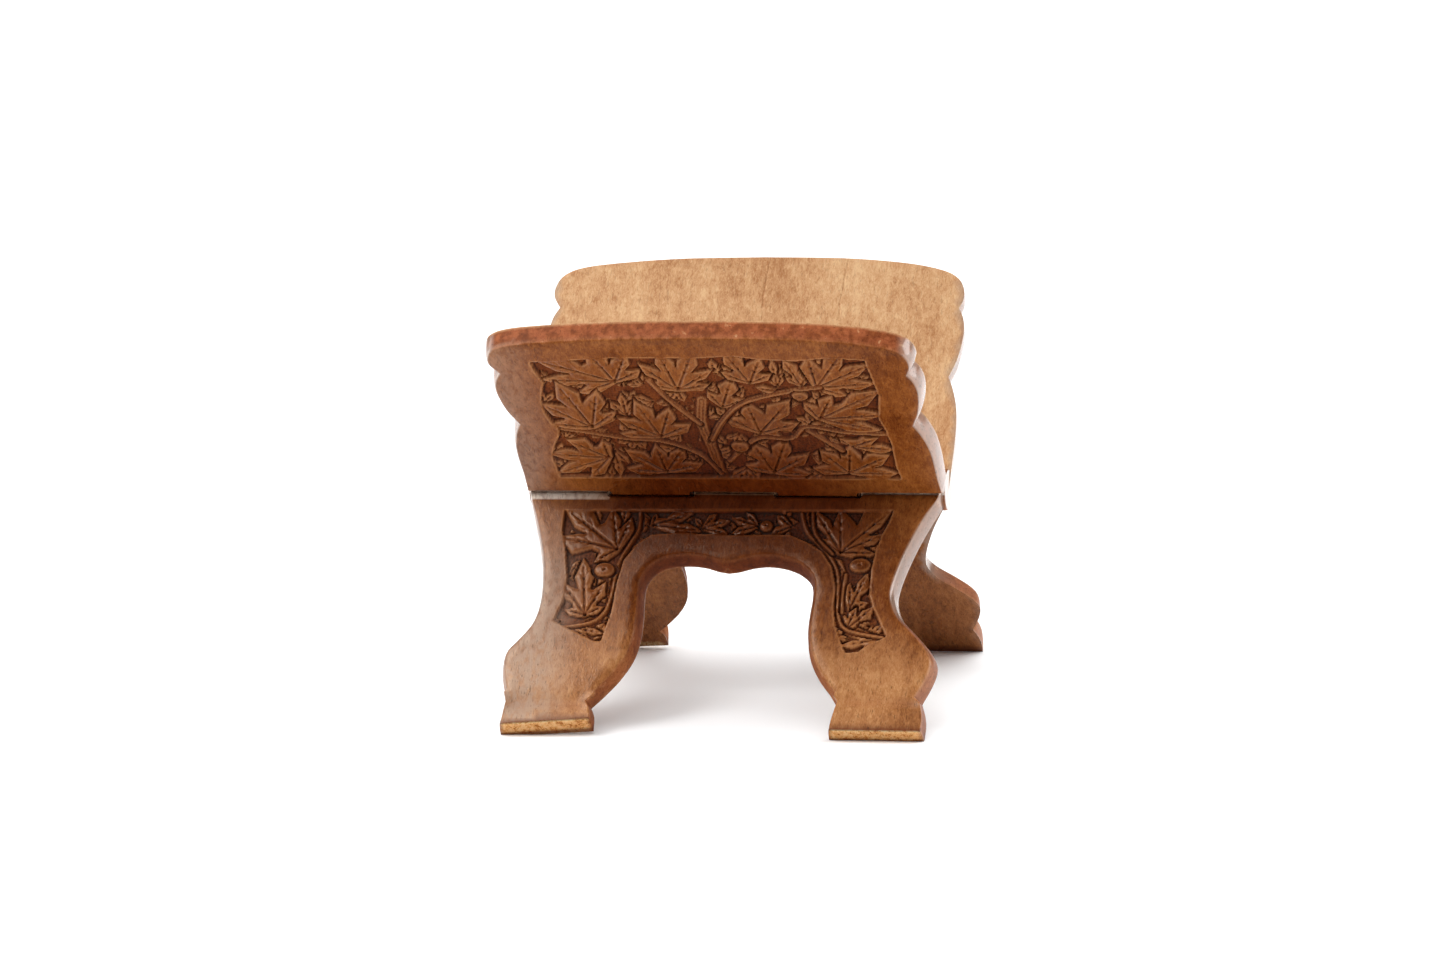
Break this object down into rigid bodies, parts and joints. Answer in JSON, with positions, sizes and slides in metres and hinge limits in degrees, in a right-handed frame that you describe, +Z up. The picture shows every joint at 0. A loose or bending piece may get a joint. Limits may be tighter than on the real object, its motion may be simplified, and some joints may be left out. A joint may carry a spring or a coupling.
{
  "type": "folding book stand",
  "caption": "Folding wooden rehal: two interlocked carved leaves that open into a cradle for a book and fold flat.",
  "frame": {"origin": "on the ground under the middle of the opened stand", "axes": "+X along the hinge, -Y towards the side with the carved book-rest panel, +Z up"},
  "size_m": [0.208, 0.1818, 0.1974],
  "materials": {
    "rear_board_wood": "satin varnish, worn on the edges",
    "front_board_wood": "satin varnish over carving"
  },
  "bodies": {
    "three_knuckle_board": {"three_knuckle_board": "rear_board_wood"},
    "two_knuckle_board": {"two_knuckle_board": "front_board_wood"}
  },
  "joints": [
    {"name": "fold", "type": "hinge", "parent": "three_knuckle_board", "child": "two_knuckle_board", "pos_m": [0, 0, 0.10022], "axis": [-1, 0, 0], "range_deg": [0, 78.6]}
  ]
}
